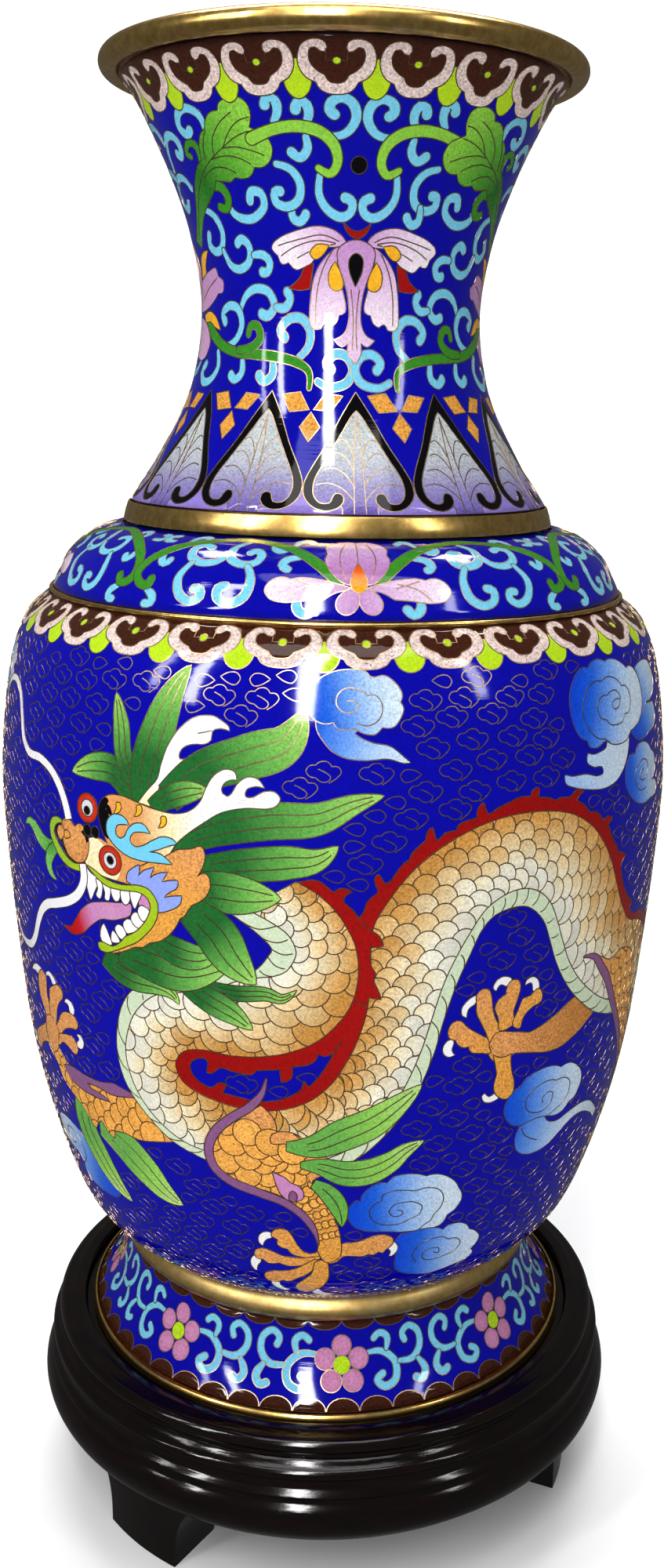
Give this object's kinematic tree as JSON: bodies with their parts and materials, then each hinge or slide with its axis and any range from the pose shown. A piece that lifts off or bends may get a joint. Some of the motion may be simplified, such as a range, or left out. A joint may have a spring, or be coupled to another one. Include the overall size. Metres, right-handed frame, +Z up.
{
  "type": "cloisonne vase",
  "caption": "Round-bellied enamelled copper vase with flared neck and brass bands, lifting off a turned wooden stand with feet.",
  "frame": {"origin": "on the table, under the centre of the stand", "axes": "+Z up along the vase's axis; -Y is the front, where the dragon's head is; +X to the right"},
  "size_m": [0.2004, 0.2004, 0.4348],
  "materials": {
    "enamel": "polished vitreous enamel in many colours between brass wires",
    "lining": "plain glossy counter enamel",
    "copper": "spun copper sheet",
    "brass": "gilded and polished, with light burnish lines",
    "lacquered_wood": "dark glossy lacquer over turned hardwood",
    "dowel_wood": "bare hardwood"
  },
  "bodies": {
    "stand": {"stand_ring": "lacquered_wood", "stand_deck": "lacquered_wood", "stand_foot_1": "lacquered_wood", "stand_foot_2": "lacquered_wood", "stand_foot_3": "lacquered_wood", "foot_dowel_1": "dowel_wood", "foot_dowel_2": "dowel_wood", "foot_dowel_3": "dowel_wood"},
    "vase": {"rim_ring": "brass", "neck_enamel": "enamel", "neck_copper": "copper", "neck_lining": "lining", "collar_band": "brass", "shoulder_enamel": "enamel", "shoulder_wire": "brass", "belly_enamel": "enamel", "body_copper": "copper", "body_lining": "lining", "floor_copper": "copper", "floor_lining": "lining", "waist_band": "brass", "foot_enamel": "enamel", "foot_copper": "copper", "foot_ring": "brass"}
  },
  "joints": [
    {"name": "vase_lift", "type": "slide", "parent": "stand", "child": "vase", "axis": [0, 0, 1], "range_m": [0, 0.08]}
  ]
}
